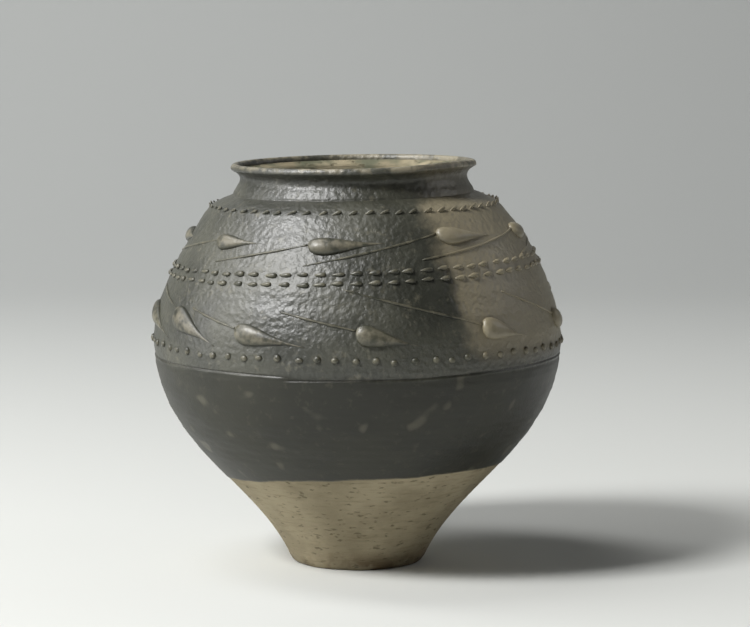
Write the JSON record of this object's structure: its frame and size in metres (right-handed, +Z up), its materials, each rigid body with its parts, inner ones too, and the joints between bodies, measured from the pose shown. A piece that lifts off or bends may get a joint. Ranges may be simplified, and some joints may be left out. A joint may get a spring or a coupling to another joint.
{
  "type": "ceramic jar",
  "caption": "Wheel-thrown clay jar with a narrow foot, wide belly, short flared neck and open mouth, a dark dipped slip coat, and trailed drops, threads and rows of beads in relief.",
  "frame": {"origin": "centre of the flat face that the foot stands on", "axes": "+Z up along the jar's axis and out of its mouth, -Y towards the front, +X to the viewer's right"},
  "size_m": [0.1918, 0.1919, 0.187],
  "materials": {
    "bare_clay": "matt",
    "slip_coat": "satin",
    "bead_slip": "satin",
    "drop_slip": "satin",
    "thread_slip": "satin"
  },
  "bodies": {
    "root": {"thrown_body": "bare_clay", "slip_coat": "slip_coat", "shoulder_beads": "bead_slip", "double_beads_upper": "bead_slip", "double_beads_lower": "bead_slip", "belly_beads": "bead_slip", "upper_drop_1": "drop_slip", "upper_drop_2": "drop_slip", "upper_drop_3": "drop_slip", "upper_drop_4": "drop_slip", "upper_drop_5": "drop_slip", "upper_drop_6": "drop_slip", "upper_drop_7": "drop_slip", "upper_drop_8": "drop_slip", "upper_drop_9": "drop_slip", "upper_thread_1": "thread_slip", "upper_thread_2": "thread_slip", "upper_thread_3": "thread_slip", "upper_thread_4": "thread_slip", "upper_thread_5": "thread_slip", "upper_thread_6": "thread_slip", "upper_thread_7": "thread_slip", "upper_thread_8": "thread_slip", "upper_thread_9": "thread_slip", "lower_drop_1": "drop_slip", "lower_drop_2": "drop_slip", "lower_drop_3": "drop_slip", "lower_drop_4": "drop_slip", "lower_drop_5": "drop_slip", "lower_drop_6": "drop_slip", "lower_drop_7": "drop_slip", "lower_drop_8": "drop_slip", "lower_drop_9": "drop_slip", "lower_drop_10": "drop_slip", "lower_drop_11": "drop_slip", "lower_thread_1": "thread_slip", "lower_thread_2": "thread_slip", "lower_thread_3": "thread_slip", "lower_thread_4": "thread_slip", "lower_thread_5": "thread_slip", "lower_thread_6": "thread_slip", "lower_thread_7": "thread_slip", "lower_thread_8": "thread_slip", "lower_thread_9": "thread_slip", "lower_thread_10": "thread_slip", "lower_thread_11": "thread_slip"}
  },
  "joints": []
}
